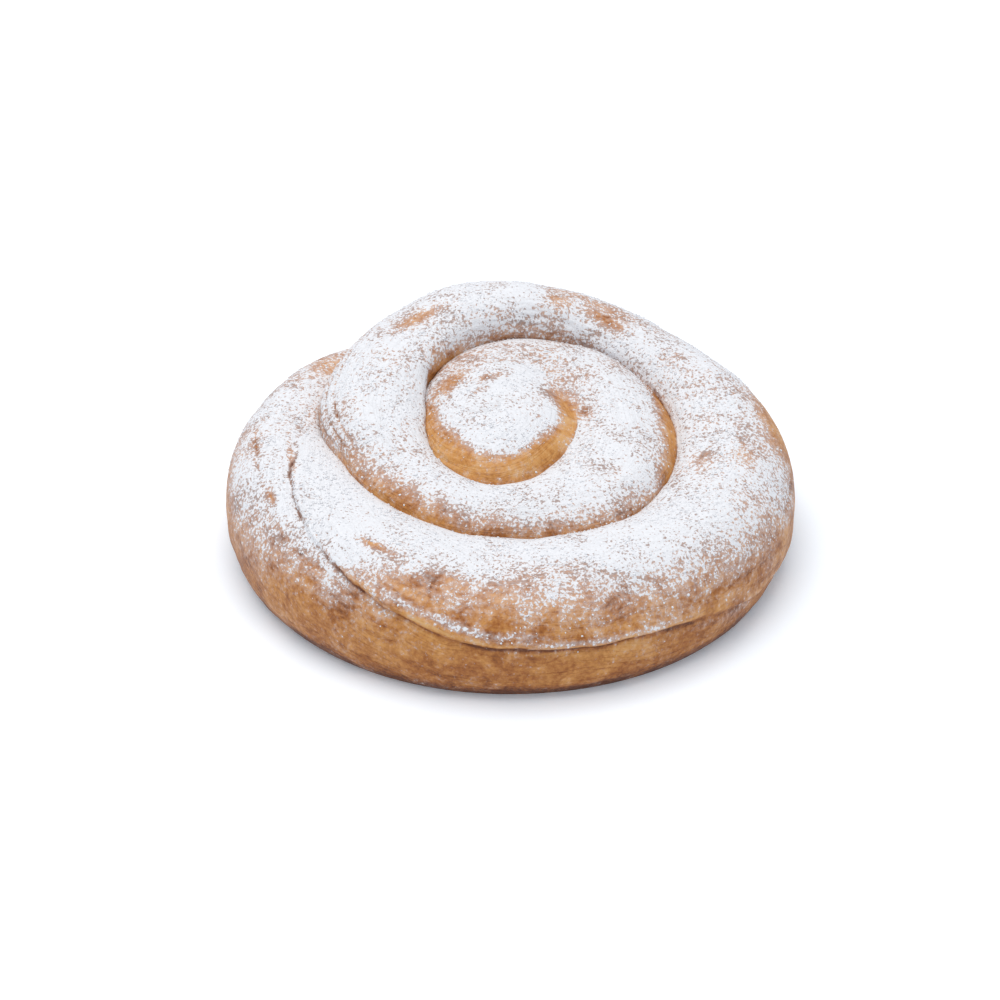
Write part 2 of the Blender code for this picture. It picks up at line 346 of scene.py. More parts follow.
def side(way, half_width, stand_out):
    """(way in, way up), both 0 to 1, from an edge (way 0) to the crest (way 1): an oval arc that
    starts below its widest point, where it stands out past the edge."""
    start = np.arccos(half_width / (half_width + stand_out))
    turn = -start + way * (np.pi / 2 + start)
    across = np.sign(np.cos(turn)) * np.abs(np.cos(turn)) ** SIDE_ROUNDNESS
    up = np.sign(np.sin(turn)) * np.abs(np.sin(turn)) ** SIDE_ROUNDNESS
    across_edge = np.cos(start) ** SIDE_ROUNDNESS
    up_edge = -(np.sin(start) ** SIDE_ROUNDNESS)
    return 1.0 - across / across_edge, (up - up_edge) / (1.0 - up_edge)


def lid(turns, radius):
    """The knob's height at a radius: a dome over the first turn that falls to the groove as a
    rounded plateau, less the dimple's round hollow where the turn comes back to it."""
    flatness = DOME_POWER + (PLATEAU_POWER - DOME_POWER) * smooth_step((turns - 0.5) / 0.4)
    edge_radius, edge_height = along_rope(turns, EDGE_RADIUS), along_rope(turns, EDGE_HEIGHT)
    crest_radius, crest_height = along_rope(turns, CREST_RADIUS), along_rope(turns, CREST_HEIGHT)
    top = KNOB_HEIGHT + (crest_height - KNOB_HEIGHT) * smooth_step(radius / crest_radius)
    depth = DIMPLE_DEPTH * smooth_step((turns - 0.75) / 0.25)
    top = top - depth * bell(radius - DIMPLE_RADIUS, DIMPLE_WIDTH)
    out = np.clip(radius / edge_radius, 0.0, 1.0)
    return edge_height + (top - edge_height) * np.sqrt(np.maximum(1.0 - out**flatness, 0.0))


def lid_past_dimple(turns, radius):
    """The lid as it goes on through the dimple into the second turn."""
    return lid(np.clip(turns + 1.0, 1.0, 1.0 + OPENING_TURNS), radius)


def groove_height(turns):
    """The outer edge's height, which leaves the lid's own surface in the dimple."""
    soft = lid_past_dimple(turns, along_rope(turns, EDGE_RADIUS))
    return soft + (along_rope(turns, EDGE_HEIGHT) - soft) * openness(turns)


def knob_section(turns, share, start):
    """(radius, height) on the first turn. The strip's inner edge leaves the pole and reaches the
    dimple after one turn, and its spacing becomes the rope's own by then."""
    inner_edge = DIMPLE_RADIUS * smooth_step(turns)
    edge_radius, crest_radius = along_rope(turns, EDGE_RADIUS), along_rope(turns, CREST_RADIUS)
    inward = share < INNER_SHARE
    way = np.where(inward, share / INNER_SHARE, (1.0 - share) / (1.0 - INNER_SHARE))
    from_edge = np.where(inward, inner_edge, edge_radius)
    like_rope = from_edge + (crest_radius - from_edge) * side(way, 1.0, 0.0)[0]
    like_dome = inner_edge + (edge_radius - inner_edge) * np.sin(share * np.pi / 2)
    to_rope = smooth_step((turns - 0.7) / 0.3)
    radius = np.where(start, inner_edge * share, like_dome + (like_rope - like_dome) * to_rope)
    soft = lid_past_dimple(turns, radius)
    return radius, soft + (lid(turns, radius) - soft) * openness(turns)


def rope_section(turns, share):
    """(radius, height) on the later turns, from the inner groove over the crest to the outer
    edge. The inner groove is the outer edge of the turn before."""
    inward = share < INNER_SHARE
    way = np.where(inward, share / INNER_SHARE, (1.0 - share) / (1.0 - INNER_SHARE))
    edge_turns = np.where(inward, turns - 1.0, turns)
    edge_radius, edge_height = along_rope(edge_turns, EDGE_RADIUS), groove_height(edge_turns)
    crest_radius, crest_height = along_rope(turns, CREST_RADIUS), along_rope(turns, CREST_HEIGHT)
    half_width = np.maximum(np.abs(crest_radius - edge_radius), 1e-6)
    stand_out = bulge(edge_turns) * openness(turns - 1.0)
    way_in, way_up = side(np.clip(way, 0.0, 1.0), half_width, stand_out)
    radius = edge_radius + (crest_radius - edge_radius) * way_in
    height = edge_height + (crest_height - edge_height) * way_up
    soft = lid(np.minimum(turns, 1.0 + OPENING_TURNS), radius)
    return radius, np.where(
        turns < 1.0 + OPENING_TURNS, soft + (height - soft) * openness(turns - 1.0), height
    )


def seam_strength(turns):
    """1 along the visible run of the seam, shallower on the right, fading out where it nears the
    tray and the groove."""
    starts = smooth_step((turns - SEAM_START) / SEAM_FADE)
    ends = smooth_step((SEAM_END - turns) / SEAM_FADE)
    deeper = smooth_step((turns - SEAM_DEEP_TURN) / 0.12)
    return starts * ends * (SHALLOW_SEAM + (1.0 - SHALLOW_SEAM) * deeper)


def seam_step(distance, lip_height, depth):
    """The seam's profile against the distance past it: a lip above, then a sharp step down into a
    hollow that runs out below."""
    lip = lip_height * bell(distance, SEAM_LIP_WIDTH)
    hollow = -depth * np.exp(-np.maximum(distance, 0.0) / SEAM_HOLLOW_WIDTH)
    return lip + (hollow - lip) * smooth_step(0.5 + distance / (2.0 * SEAM_HALF_STEP))


def column_shares(turns, columns):
    """The share of each column in each row: even, less a pull towards the seam that dies out like
    a bell curve, and is nothing at the strip's edges."""
    even = np.linspace(0.0, 1.0, columns + 1) * np.ones((len(turns), 1))
    past = even - through(SEAM_PATH, turns)[:, None]
    pull = SEAM_GATHERED * past * bell(past, SEAM_GATHER)
    inside = smooth_step(even / EDGE_MARGIN) * smooth_step((1.0 - even) / EDGE_MARGIN)
    return even - pull * inside * seam_strength(turns)[:, None]


def edge_fade(turns, share, width):
    """0 at the grooves and the tray line and 1 a width inside them, in shares. The knob's hidden
    inner edge and the dimple aren't grooves, so it stays 1 there."""
    inner = 1.0 - (1.0 - smooth_step(share / width)) * openness(turns - 1.0)
    outer = 1.0 - (1.0 - smooth_step((1.0 - share) / width)) * openness(turns)
    return inner * outer


class Strip:
    """The crust's grid: rows along the rope and columns across it, with each point's turns, share,
    place, normal, distance along the rope and distance past the seam's line."""

    def __init__(self, rows_per_turn, columns):
        rows = round((TAIL_TURN - FIRST_TURN) * rows_per_turn) + 1
        row_turns = FIRST_TURN + np.arange(rows) / rows_per_turn
        self.rows_per_turn, self.columns = rows_per_turn, columns
        self.share = column_shares(row_turns, columns)
        self.turns = row_turns[:, None] * np.ones(columns + 1)
        start = self.turns < 0.0
        knob_turns = np.clip(np.where(start, self.turns + 1.0, self.turns), 0.0, 1.0)
        knob = knob_section(knob_turns, self.share, start)
        rope = rope_section(np.maximum(self.turns, 1.0), self.share)
        first = self.turns < 1.0
        self.radius = np.where(first, knob[0], rope[0])
        self.height = np.where(first, knob[1], rope[1])
        rope_radius = along_rope(np.maximum(row_turns, 0.0), CREST_RADIUS)
        along = np.cumsum(2 * np.pi * rope_radius) / rows_per_turn
        self.along = along[:, None] * np.ones(columns + 1)
        self.settle()
        self.past_seam = (self.share - through(SEAM_PATH, self.turns)) * STRIP_LENGTH
        self.past_seam += SEAM_WANDER * lumps(self.points, 5 * MM, 19)

    def settle(self):
        """Works out places and normals from the radii and heights: the normal is the cross
        product of the grid's two slopes, and straight up at the pole, where they vanish."""
        azimuth = -2 * np.pi * self.turns
        self.points = np.stack(
            [self.radius * np.cos(azimuth), self.radius * np.sin(azimuth), self.height], axis=-1
        )
        normal = np.cross(np.gradient(self.points, axis=0), np.gradient(self.points, axis=1))
        length = np.linalg.norm(normal, axis=-1, keepdims=True)
        flat = length < 1e-14
        normal = np.where(flat, (0.0, 0.0, 1.0), normal / np.where(flat, 1.0, length))
        start = self.turns < 0.0
        upward = start & (normal[..., 2] < 0.0)
        self.normal = np.where(upward[..., None], -normal, normal)

    def swell_from_core(self, relief):
        """Moves each point away from the rope's core in its own section."""
        turns = np.maximum(self.turns, 0.0)
        out = self.radius - along_rope(turns, CREST_RADIUS)
        up = self.height - CORE_HEIGHT * along_rope(turns, CREST_HEIGHT)
        length = np.maximum(np.hypot(out, up), MM)
        self.radius = self.radius + relief * out / length
        self.height = self.height + relief * up / length
        self.settle()

    def numbers(self):
        """Vertex numbers. Column 0 is the last column of the row one turn before, or the pole."""
        rows = len(self.turns)
        number = np.arange(rows * (self.columns + 1)).reshape(rows, self.columns + 1)
        number[0, :] = 0
        before = np.maximum(np.arange(1, rows) - self.rows_per_turn, 0)
        number[1:, 0] = number[before, self.columns]
        number[-1, :] = number[-1, 0]
        return number


def lobes(strip, height):
    """Broad, shallow swellings along the rope: two slanted waves, fading at the grooves."""
    waves = sum(
        np.sin(2 * np.pi * (count * strip.turns + slant * strip.share))
        for count, slant in zip(LOBES_PER_TURN, LOBE_SLANTS)
    )
    return height * waves / 2 * np.sin(np.pi * strip.share) ** 2 * smooth_step(strip.turns - 0.5)


def creases(strip):
    """1 along the bottom of each narrow fold, with a bell for its profile and a wandering path."""
    share = strip.share + CREASE_WANDER * lumps(strip.points, 8 * MM, 23)
    deepest = np.zeros(share.shape)
    for start, end, first_share, last_share in CREASES:
        done = (strip.turns - start) / (end - start)
        place = first_share + (last_share - first_share) * done
        ends = CREASE_ENDS / (end - start)
        run = smooth_step(done / ends) * smooth_step((1.0 - done) / ends)
        deepest = np.maximum(deepest, run * bell(share - place, CREASE_WIDTH))
    return deepest


def layer_edges(strip, height):
    """Thin edges of dough layers along the flanks: noise stretched 20 times along the rope, folded
    at 0 so that its creases become ridges."""
    at = np.stack([strip.along / 20.0, strip.past_seam, 0.05 * strip.turns], axis=-1)
    ridges = 1.0 - 2.0 * np.abs(lumps(at, 1.9 * MM, 31))
    fine = 1.0 - 2.0 * np.abs(lumps(at * (1.6, 1.0, 1.0), 1.1 * MM, 37))
    flank = smooth_step((0.85 - strip.normal[..., 2]) / 0.5)
    patches = smooth_step(0.6 + lumps(strip.points, 14 * MM, 41))
    return height * (0.65 * ridges + 0.35 * fine) * flank * patches


def ripples(strip):
    """Short wrinkles across the rope on its front shoulder, -1 to 1: lumps stretched 2.5 times
    across it, in three layers, dying out as bell curves."""
    at = np.stack([strip.along, 0.4 * strip.past_seam, 0.02 * strip.turns], axis=-1)
    on_turn = bell(strip.turns - RIPPLED_TURN, RIPPLED_LENGTH)
    shoulder = on_turn * bell(strip.share - RIPPLED_SHARE, RIPPLED_WIDTH)
    return shoulder * rough_lumps(at, 2.6 * MM, 53)


def pit(strip):
    """1 in the middle of the pit, a round bell in plan."""
    aside = strip.points[..., :2] - strip.middle[:2] - PIT_PLACE
    return bell(np.linalg.norm(aside, axis=-1), PIT_WIDTH)


def blisters(strip, height):
    """Uneven crust: three layers of lumps from 7 mm down, the same from every side."""
    return height * rough_lumps(strip.points, 7 * MM, 5)


def crescent(strip):
    """1 in the middle of the knob's bare crescent, in polar coordinates round the pole, and 0 past
    its ends, its inner and outer edges and the first turn."""
    part = np.mod(strip.turns, 1.0)
    part = np.where(part > 0.7, part - 1.0, part)
    middle, half_width, gone = from_table(CRESCENT, part)
    aside = (strip.radius / MM - middle) / half_width
    return gone * np.exp(-np.abs(aside) ** 3) * (strip.turns < 1.0)


def seam_run(strip):
    """1 where the seam is open, at the front and along broken stretches of its run, and 0 between
    them."""
    stretches = 1.3 * lumps(strip.points, 7 * MM, 43) + bell(strip.turns - FRONT_OPENING, 0.05)
    return seam_strength(strip.turns) * smooth_step(0.5 + stretches)


def crack(strip):
    """1 in the narrow crack just below the seam's lip."""
    return seam_run(strip) * bell(strip.past_seam - 0.35 * MM, 0.42 * MM)


def sugar_amount(strip):
    """How much icing sugar lies on each point, 0 to 1: full between two limits along the rope and
    thinning out past them, less the bare places, plus the sugared lips."""
    turns = np.maximum(strip.turns, 0.0)
    inner, outer, softness, fullness = from_table(SUGAR_STATIONS, turns)
    from_inner = smooth_step(0.5 + (strip.share - inner) / (2 * softness))
    from_outer = smooth_step(0.5 + (outer - strip.share) / (2 * softness))
    amount = fullness * from_inner * from_outer
    x, y = strip.centred[..., 0], strip.centred[..., 1]
    for place_x, place_y, length, width, gone in BARE_PLACES:
        ahead = np.array([-place_y, place_x]) / np.hypot(place_x, place_y)
        along = (x - place_x * MM) * ahead[0] + (y - place_y * MM) * ahead[1]
        aside = (x - place_x * MM) * ahead[1] - (y - place_y * MM) * ahead[0]
        amount *= 1.0 - gone * bell(along, length * MM) * bell(aside, width * MM)
    for place, past_seam, length, most in SUGARED_LIPS:
        line = bell(strip.turns - place, length) * bell(strip.past_seam - past_seam * MM, MM)
        amount = np.maximum(amount, most * line)
    level = smooth_step((strip.normal[..., 2] + 0.2) / 0.6)
    amount *= SUGAR_ON_STEEP + (1.0 - SUGAR_ON_STEEP) * level
    amount *= (1.0 - crescent(strip)) * (1.0 - CRACK_BARED * crack(strip))
    amount *= (1.0 - CREASES_BARED * creases(strip)) * (1.0 - PIT_BARED * pit(strip))
    amount += SUGAR_ON_RIPPLES * ripples(strip)
    return np.clip(amount + UNEVEN_SUGAR * lumps(strip.points, 6 * MM, 51), 0.0, 1.0)


def browning_and_painted_light(strip):
    """How brown the crust is, 0 pale to 1 dark: browning most near the tray and in broad patches,
    partly browning and partly painted shade at the rope's outer edge by the grooves, painted shade
    in the pit, the folds, the crack below the seam's lip and the wrinkles' troughs, and least where
    painted highlight lightens the lip and the wrinkles' crests."""
    forms = {
        "low": smooth_step((BAKED_LOW_HEIGHT - strip.points[..., 2]) / BAKED_LOW_HEIGHT),
        # Partly browning and partly painted shade: darker at each turn's outer edge, down in the
        # groove
        "outer_edge_browning_and_shade": 1.0 - edge_fade(strip.turns, np.maximum(strip.share, 0.5), 0.12),
        # Painted shade: darker crust in the crack below the lip and in the folds; the crescent is a
        # little paler
        "crack": crack(strip), "creases": creases(strip), "crescent": crescent(strip),
        # Painted highlight: paler crust along the seam's lip
        "lip": seam_run(strip) * bell(strip.past_seam + 0.5 * MM, 0.5 * MM),
        # Painted shade in the ripples' troughs and in the pit, painted highlight on the ripples'
        # crests
        "ripples": ripples(strip), "pit": pit(strip),
        "patches": rough_lumps(strip.points, 12 * MM, 61),
    }
    amount = BAKED + sum(weight * forms[name] for name, weight in BROWNING_AND_PAINTED_LIGHT_WEIGHTS.items())
    return np.clip(amount, 0.0, 1.0)


def crust_strip(settings):
    """The crust's finished grid, with the amounts of sugar and baking at each point."""
    strip = Strip(settings.rows_per_turn, settings.columns)
    fade = edge_fade(strip.turns, strip.share, 0.08)
    step = seam_step(strip.past_seam, settings.seam_lip, settings.seam_depth)
    step *= seam_strength(strip.turns) * (0.8 + 0.5 * lumps(strip.points, 9 * MM, 29))
    strip.swell_from_core(step * fade + lobes(strip, settings.lobe_height))
    low, high = strip.points.reshape(-1, 3).min(0), strip.points.reshape(-1, 3).max(0)
    strip.middle = np.array([*(low + high)[:2] / 2, 0.0])
    strip.centred = strip.points - strip.middle
    strip.sugar = sugar_amount(strip)
    # The crust's browning, which also carries painted shade and painted highlight
    strip.baked = browning_and_painted_light(strip)
    relief = layer_edges(strip, settings.layer_height) + blisters(strip, settings.blister_height)
    relief = relief - settings.crease_depth * creases(strip) - settings.pit_depth * pit(strip)
    relief = relief + settings.ripple_height * ripples(strip)
    heaped = 0.7 + 0.5 * rough_lumps(strip.points, 4 * MM, 71)
    film = settings.film_thickness * strip.sugar * heaped
    strip.points = strip.points + strip.normal * ((relief + film) * fade)[..., None]
    strip.points[..., 2] = np.maximum(strip.points[..., 2], 0.0)
    strip.centred = strip.points - strip.middle
    return strip


# Meshes

STRAY_CLUMPS = 0.003  # weight of a clump where there is no film, against 1 on a full one
CLUMP_SPREAD = 0.35   # spread of the logarithm of their sizes
LARGEST_CLUMP = 2.2   # times the usual size


def new_piece(name, points, faces, smooth=True):
    """An object at the origin with this mesh, in the scene."""
    mesh = bpy.data.meshes.new(name)
    mesh.from_pydata(points, [], faces)
    mesh.update()
    if smooth:
        mesh.shade_smooth()
    piece = bpy.data.objects.new(name, mesh)
    bpy.context.scene.collection.objects.link(piece)
    return piece


def give_attribute(mesh, name, values):
    """Stores one number, or one vector, for each vertex of the mesh."""
    kind, field = ("FLOAT_VECTOR", "vector") if values.ndim == 2 else ("FLOAT", "value")
    attribute = mesh.attributes.new(name, kind, "POINT")
    attribute.data.foreach_set(field, values.astype(np.float32).ravel())


def dress_crust(strip, name):
    """The grid as a closed mesh with its flat underside. Vertices that the grid shares are kept
    once, quads that have lost a side become triangles, and the tray line is one flat face."""
    number = strip.numbers()
    used, compact = np.unique(number, return_inverse=True)
    compact = compact.reshape(number.shape)
    quads = np.stack(
        [compact[:-1, :-1], compact[1:, :-1], compact[1:, 1:], compact[:-1, 1:]], axis=-1
    ).reshape(-1, 4)
    doubled = quads == np.roll(quads, -1, axis=1)
    whole = ~doubled.any(axis=1)
    faces = quads[whole].tolist()
    lost_one = doubled.sum(axis=1) == 1
    faces += quads[lost_one][~doubled[lost_one]].reshape(-1, 3).tolist()
    faces.append(compact[-1 - strip.rows_per_turn : -1, -1][::-1].tolist())
    piece = new_piece(name, strip.centred.reshape(-1, 3)[used], faces)
    give_attribute(piece.data, "sugar", strip.sugar.ravel()[used])
    # The browning attribute also carries painted shade and painted highlight
    give_attribute(piece.data, "baked", strip.baked.ravel()[used])
    wave = 1.0 * MM * lumps(strip.points, 9 * MM, 91) + 0.25 * MM * lumps(strip.points, 3 * MM, 92)
    across = strip.past_seam * (0.35 + 0.65 * smooth_step(strip.turns)) + wave
    rope = np.stack([strip.along, across, strip.share * MM], axis=-1)
    give_attribute(piece.data, "rope", rope.reshape(-1, 3)[used])
    return piece


def pebble():
    """An icosahedron of radius 1: points (0, +-1, +-g) and their turns, g the golden ratio."""
    g = (1 + 5**0.5) / 2
    points = np.array([
        (-1, g, 0), (1, g, 0), (-1, -g, 0), (1, -g, 0),
        (0, -1, g), (0, 1, g), (0, -1, -g), (0, 1, -g),
        (g, 0, -1), (g, 0, 1), (-g, 0, -1), (-g, 0, 1),
    ])
    faces = np.array([
        (0, 11, 5), (0, 5, 1), (0, 1, 7), (0, 7, 10), (0, 10, 11),
        (1, 5, 9), (5, 11, 4), (11, 10, 2), (10, 7, 6), (7, 1, 8),
        (3, 9, 4), (3, 4, 2), (3, 2, 6), (3, 6, 8), (3, 8, 9),
        (4, 9, 5), (2, 4, 11), (6, 2, 10), (8, 6, 7), (9, 8, 1),
    ])
    return points / np.hypot(1, g), faces


def scattered(strip, weight, count, generator):
    """Random places on the strip, as likely in each cell as its area times its weight: a place
    and a normal for each, blended between the cell's four corners."""
    p = strip.centred
    across, ahead = p[:-1, 1:] - p[:-1, :-1], p[1:, :-1] - p[:-1, :-1]
    chance = (np.linalg.norm(np.cross(across, ahead), axis=-1) * weight[:-1, :-1]).ravel()
    chosen = generator.choice(len(chance), count, p=chance / chance.sum())
    row, column = np.divmod(chosen, strip.columns)
    s, t = generator.random((2, count, 1))

    def blended(grid):
        near = grid[row, column] * (1 - s) + grid[row, column + 1] * s
        far = grid[row + 1, column] * (1 - s) + grid[row + 1, column + 1] * s
        return near * (1 - t) + far * t

    normal = blended(strip.normal)
    return blended(p), normal / np.linalg.norm(normal, axis=-1, keepdims=True)


def clump_mesh(name, places, normals, sizes, generator):
    """Many small closed pebbles as one mesh. Each is an icosahedron with its points pushed in and
    out by up to a quarter, flattened along the crust's normal and sunk in it by a third."""
    shape, faces = pebble()
    count = len(places)
    side_way = np.cross(normals, generator.normal(size=(count, 3)))
    side_way /= np.linalg.norm(side_way, axis=1, keepdims=True)
    third_way = np.cross(normals, side_way)
    uneven = shape * generator.uniform(0.75, 1.25, (count, len(shape), 1))
    stretch = np.stack([
        generator.uniform(0.8, 1.4, count), generator.uniform(0.7, 1.1, count),
        generator.uniform(0.45, 0.75, count),
    ], axis=1)
    local = uneven * stretch[:, None, :] * sizes[:, None, None]
    axes = np.stack([side_way, third_way, normals], axis=1)
    points = np.einsum("cpk,ckx->cpx", local, axes) + places[:, None, :]
    points += normals[:, None, :] * (sizes * stretch[:, 2] * 0.3)[:, None, None]
    every_face = faces + (np.arange(count) * len(shape))[:, None, None]
    return new_piece(name, points.reshape(-1, 3), every_face.reshape(-1, 3).tolist())


# Materials

# Noises on the crust: scale per metre, detail, roughness and distortion
NOISES = {
    "pores": (1300.0, 4.0, 0.65, 0.0),
    "patches": (210.0, 5.0, 0.6, 0.6),
    "grains": (1100.0, 2.0, 0.6, 0.0),
    "specks": (1700.0, 1.0, 0.5, 0.0),
    "fine_grains": (2600.0, 2.0, 0.6, 0.0),
}
STREAKS = {"Length": 0.013, "Width": 0.0010}
BROAD_STREAKS = {"Length": 0.030, "Width": 0.0024}
EDGE_LINE_WIDTH = 0.016

# How much of each pattern is added to the crust's tone, to the amount of sugar and to the bump
# The weight for sugar darkens the crust where sugar lies, so it shows brown in the film's specks:
# painted shade in those pits
TONE_WEIGHTS = {"pores": 0.8, "streak": 0.45, "patches": 1.1, "edge_line": 0.14, "sugar": 0.60}
TONE_SHIFT = -0.25
COVER_WEIGHTS = {"patches": -0.8, "grains": 1.7, "fine_grains": 1.2}
DUST_WEIGHTS = {"grains": 0.8, "patches": -0.8}
FULLNESS_WEIGHTS = {"specks": -2.4, "patches": -1.2}
BUMP_WEIGHTS = {"pores": 0.7, "edge_line": -0.35, "patches": -2.0, "film": 0.5, "powder": 0.35}

# Limits of each smooth step, and its value at the second limit where that isn't 1
FILM_LIMITS = (0.30, 0.62)
VEIL_LIMITS, MOST_VEIL = (0.0, 0.6), 0.5
THIN_LIMITS, MOST_THIN = (0.66, 0.36), 0.75
VEIL_UNDER_FILM = 0.25
TONE_STOPS = (0.0, 0.35, 0.7, 1.0)
SUGAR_ROUGHNESS = 0.95


def fill(tree, socket, given):
    """Links the socket to another, or sets it to a number or a colour."""
    if isinstance(given, bpy.types.NodeSocket):
        tree.links.new(given, socket)
    else:
        socket.default_value = given if isinstance(given, float) else (*given, 1.0)


def put(tree, kind, inputs=(), **settings):
    """A node in the tree with its settings and its inputs: numbers, colours or sockets."""
    node = tree.nodes.new(kind)
    for key, value in settings.items():
        setattr(node, key, value)
    for key, given in dict(inputs).items():
        fill(tree, node.inputs[key], given)
    return node


def maths(tree, operation, *terms):
    """One Math node's result. Each term is a number or a socket."""
    return put(tree, "ShaderNodeMath", enumerate(terms), operation=operation).outputs[0]


def weighed(tree, start, patterns, weights):
    """The start plus each pattern named in the weights times its weight."""
    for name, weight in weights.items():
        start = maths(tree, "MULTIPLY_ADD", patterns[name], weight, start)
    return start


def noise_of(tree, vector, scale, detail, roughness, distortion=0.0):
    """Blender's noise, about 0.5 on average."""
    inputs = {
        "Vector": vector, "Scale": scale, "Detail": detail, "Roughness": roughness,
        "Distortion": distortion,
    }
    return put(tree, "ShaderNodeTexNoise", inputs).outputs[0]


def mixed(tree, factor, a, b, blend="MIX"):
    """Colour a changed to colour b by the factor. Each may be a socket."""
    inputs = {0: factor, 6: a, 7: b}
    return put(tree, "ShaderNodeMix", inputs, data_type="RGBA", blend_type=blend).outputs[2]


def stepped(tree, value, limits, to_high=1.0, to_low=0.0):
    """A smooth step of the value between the limits."""
    inputs = {
        "Value": value, "From Min": limits[0], "From Max": limits[1], "To Min": to_low,
        "To Max": to_high,
    }
    return put(tree, "ShaderNodeMapRange", inputs, interpolation_type="SMOOTHSTEP").outputs[0]


def ramp(tree, value, stops):
    """A colour ramp through (place, colour) stops, on this value."""
    node = put(tree, "ShaderNodeValToRGB", {0: value})
    elements = node.color_ramp.elements
    elements[0].position, elements[0].color = stops[0][0], (*stops[0][1], 1.0)
    elements[1].position, elements[1].color = stops[-1][0], (*stops[-1][1], 1.0)
    for place, colour in stops[1:-1]:
        elements.new(place).color = (*colour, 1.0)
    return node.outputs[0]


def node_group(name, inputs, outputs):
    """An empty shader group with these sockets: (name, socket type, default) and (name, type)."""
    group = bpy.data.node_groups.new(name, "ShaderNodeTree")
    for label, kind, default in inputs:
        socket = group.interface.new_socket(name=label, in_out="INPUT", socket_type=kind)
        if default is not None:
            socket.default_value = default
    for label, kind in outputs:
        group.interface.new_socket(name=label, in_out="OUTPUT", socket_type=kind)
    ends = group.nodes.new("NodeGroupInput"), group.nodes.new("NodeGroupOutput")
    return group, ends[0].outputs, ends[1].inputs


def powder_group():
    """Icing sugar's own grain: a height from fine noise, and painted shade that darkens its pits.
    """
    group, given, result = node_group(
        "powder_grain",
        [("Vector", "NodeSocketVector", None), ("Size", "NodeSocketFloat", 0.0005)],
        [("Height", "NodeSocketFloat"), ("Shade", "NodeSocketFloat")],
    )
    scale = maths(group, "DIVIDE", 1.0, given["Size"])
    noise = noise_of(group, given["Vector"], scale, 4.0, 0.65)
    group.links.new(noise, result["Height"])
    inputs = {"Value": noise, "From Min": 0.3, "From Max": 0.6, "To Min": 0.90, "To Max": 1.0}
    group.links.new(put(group, "ShaderNodeMapRange", inputs).outputs[0], result["Shade"])
    return group


def streak_group():
    """Edges of baked layers: noise on the rope's own coordinates, long along it and fine across."""
    group, given, result = node_group(
        "layer_streaks",
        [("Vector", "NodeSocketVector", None), ("Length", "NodeSocketFloat", 0.02),
         ("Width", "NodeSocketFloat", 0.0006)],
        [("Streak", "NodeSocketFloat")],
    )
    split = put(group, "ShaderNodeSeparateXYZ", {0: given["Vector"]}).outputs
    along = maths(group, "DIVIDE", split[0], given["Length"])
    across = maths(group, "DIVIDE", split[1], given["Width"])
    joined = put(group, "ShaderNodeCombineXYZ", {0: along, 1: across}).outputs[0]
    group.links.new(noise_of(group, joined, 1.0, 3.0, 0.6), result["Streak"])
    return group


def centred(tree, noise):
    """A noise less its average of one half."""
    return maths(tree, "SUBTRACT", noise, 0.5)


def layer_line(tree, noise, half_width):
    """1 on a thin line where the noise crosses one half, and 0 from the half width on."""
    off = maths(tree, "ABSOLUTE", centred(tree, noise))
    return stepped(tree, off, (half_width, 0.0))


def fresh_material(name, roughness):
    """A material with a Principled BSDF of this roughness: its tree and shader."""
    material = bpy.data.materials.new(name)
    material.use_nodes = True
    shader = material.node_tree.nodes["Principled BSDF"]
    shader.inputs["Roughness"].default_value = roughness
    shader.inputs["Specular IOR Level"].default_value = 0.3
    return material, material.node_tree, shader


def white_powder(tree, place, sugar):
    """The colour and the height of icing sugar with its own grain, the colour darkened by painted
    shade in the grain's pits.
    """
    given = {"Size": sugar.grain_size, "Vector": place}
    powder = put(tree, "ShaderNodeGroup", given, node_tree=powder_group()).outputs
    return mixed(tree, 1.0, sugar.colour, powder["Shade"], "MULTIPLY"), powder["Height"]


